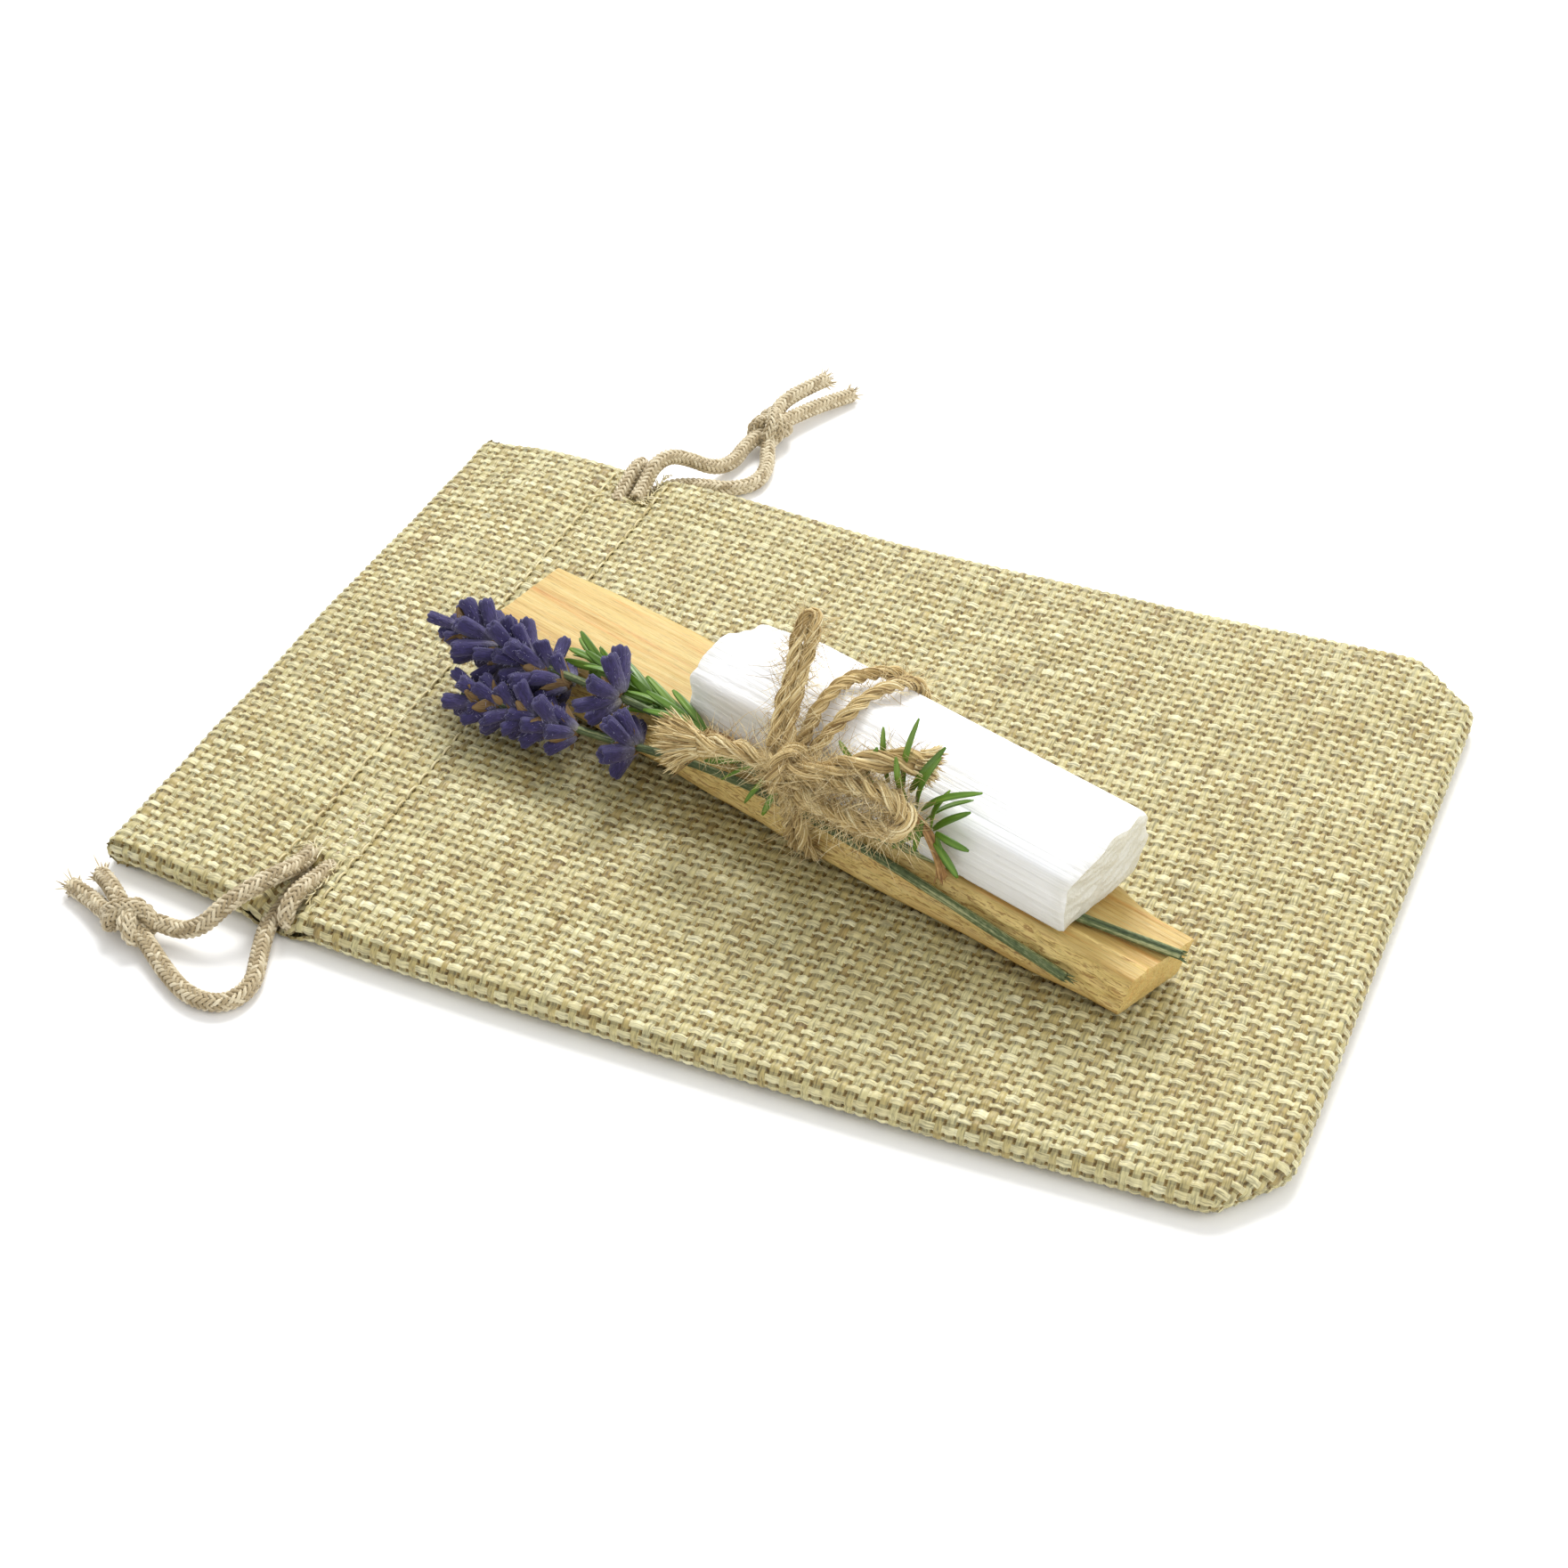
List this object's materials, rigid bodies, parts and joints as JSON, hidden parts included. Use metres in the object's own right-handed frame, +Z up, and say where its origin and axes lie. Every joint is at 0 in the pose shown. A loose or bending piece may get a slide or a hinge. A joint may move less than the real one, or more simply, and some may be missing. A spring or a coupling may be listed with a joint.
{
  "type": "herb bundle with drawstring pouch",
  "caption": "Palo santo stick, selenite crystal, lavender and rosemary sprigs tied with jute twine in a bow, lying on a flat woven drawstring pouch.",
  "frame": {"origin": "on the table, under the middle of the pouch's own box (the drawstrings' free ends left out)", "axes": "+X along the pouch from its mouth to its closed end, +Y to the side away from the viewer, +Z up"},
  "size_m": [0.1412, 0.1446, 0.0321],
  "materials": {
    "pouch_cloth": "matte",
    "seam_thread": "matte",
    "drawstring": "matte",
    "palo_santo_wood": "matte",
    "selenite": "satin",
    "jute_twine": "matte",
    "lavender_flower": "matte",
    "lavender_stem": "matte",
    "rosemary_leaf": "satin",
    "rosemary_twig": "matte"
  },
  "bodies": {
    "pouch": {"pouch_front_panel": "pouch_cloth", "pouch_back_panel": "pouch_cloth", "front_header_hem": "pouch_cloth", "back_header_hem": "pouch_cloth", "near_side_seam": "pouch_cloth", "far_side_seam": "pouch_cloth", "closed_end_seam": "pouch_cloth", "casing_stitches": "seam_thread"},
    "near_drawstring": {"near_cord_front_casing_run": "drawstring", "near_cord_back_casing_run": "drawstring", "near_cord_edge_turn": "drawstring", "near_cord_front_strand": "drawstring", "near_cord_back_strand": "drawstring", "near_cord_knot": "drawstring", "near_cord_long_tail": "drawstring", "near_cord_short_tail": "drawstring"},
    "far_drawstring": {"far_cord_front_casing_run": "drawstring", "far_cord_back_casing_run": "drawstring", "far_cord_edge_turn": "drawstring", "far_cord_front_strand": "drawstring", "far_cord_back_strand": "drawstring", "far_cord_knot": "drawstring", "far_cord_long_tail": "drawstring", "far_cord_short_tail": "drawstring"},
    "bundle": {"palo_santo_stick": "palo_santo_wood", "selenite_crystal": "selenite", "lavender_upper_stem": "lavender_stem", "lavender_upper_head": "lavender_flower", "lavender_upper_whorl": "lavender_flower", "lavender_lower_stem": "lavender_stem", "lavender_lower_head": "lavender_flower", "lavender_lower_whorl": "lavender_flower", "rosemary_stem": "rosemary_twig", "rosemary_tip_needles": "rosemary_leaf", "rosemary_cut_end_needles": "rosemary_leaf", "twine_left_wrap": "jute_twine", "twine_right_wrap": "jute_twine", "twine_knot": "jute_twine", "twine_upright_loop": "jute_twine", "twine_side_loop": "jute_twine", "twine_left_tail": "jute_twine", "twine_right_tail": "jute_twine"}
  },
  "joints": [
    {"name": "near_drawstring_slide", "type": "slide", "parent": "pouch", "child": "near_drawstring", "axis": [0, -1, 0], "range_m": [0, 0.003]},
    {"name": "far_drawstring_slide", "type": "slide", "parent": "pouch", "child": "far_drawstring", "axis": [0, 1, 0], "range_m": [0, 0.003]},
    {"name": "bundle_lift_off", "type": "slide", "parent": "pouch", "child": "bundle", "axis": [0, 0, 1], "range_m": [0, 0.04]}
  ]
}
